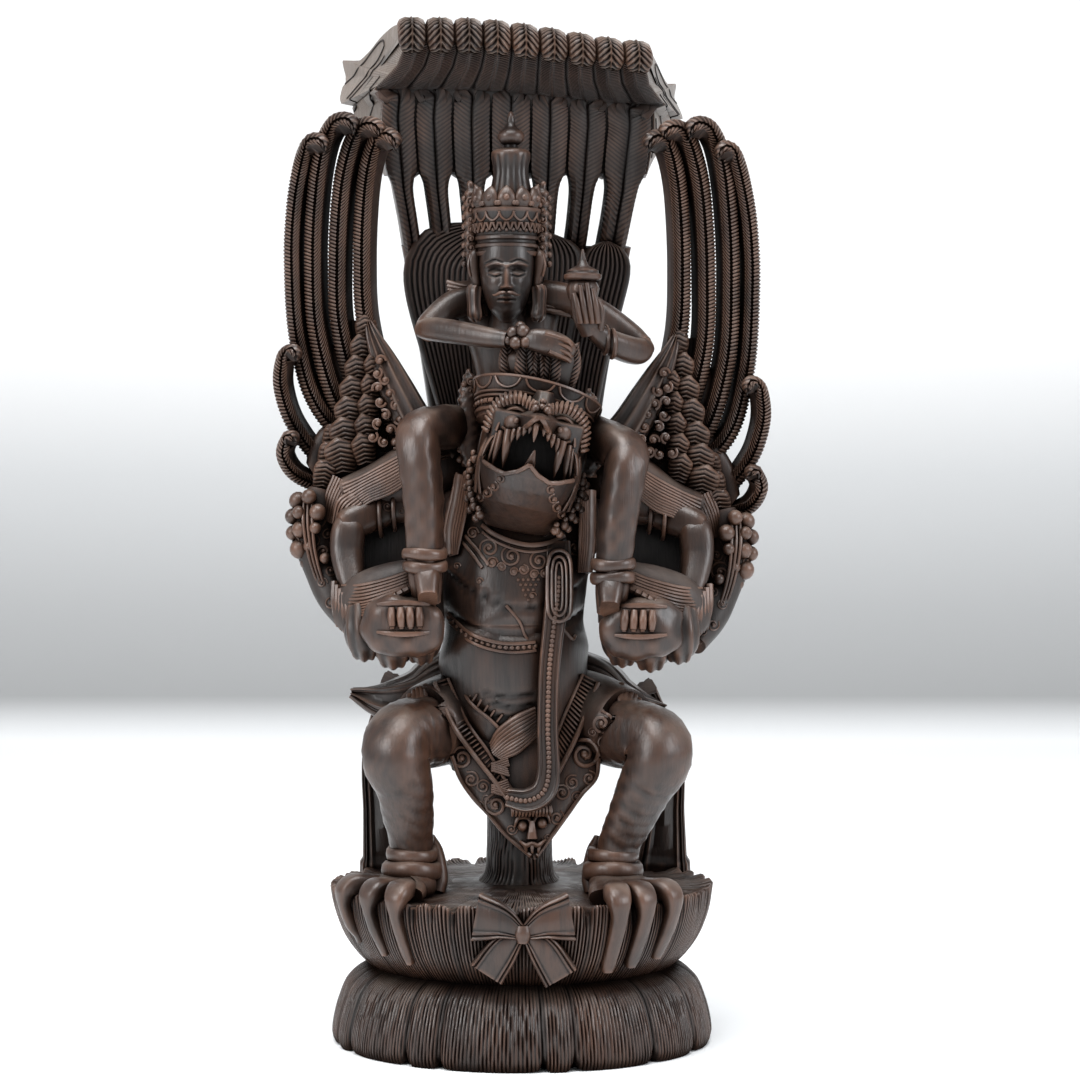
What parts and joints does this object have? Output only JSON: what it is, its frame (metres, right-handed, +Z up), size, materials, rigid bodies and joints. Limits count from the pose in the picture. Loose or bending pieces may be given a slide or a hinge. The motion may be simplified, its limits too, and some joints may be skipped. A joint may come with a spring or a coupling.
{
  "type": "carved garuda and vishnu statue",
  "caption": "Standing wood carving of a crowned rider on a winged bird-man, under a spread feather tail, on a round lotus plinth.",
  "frame": {"origin": "centre of the plinth's flat underside", "axes": "+Z up; the figure faces -Y; +X is to the right of a viewer standing in front of it"},
  "size_m": [0.1932, 0.149, 0.394],
  "materials": {
    "carved_wood": "dark stained hardwood, half-gloss on the worn high places and duller in the cuts"
  },
  "bodies": {
    "root": {"garuda_carving": "carved_wood"}
  },
  "joints": []
}
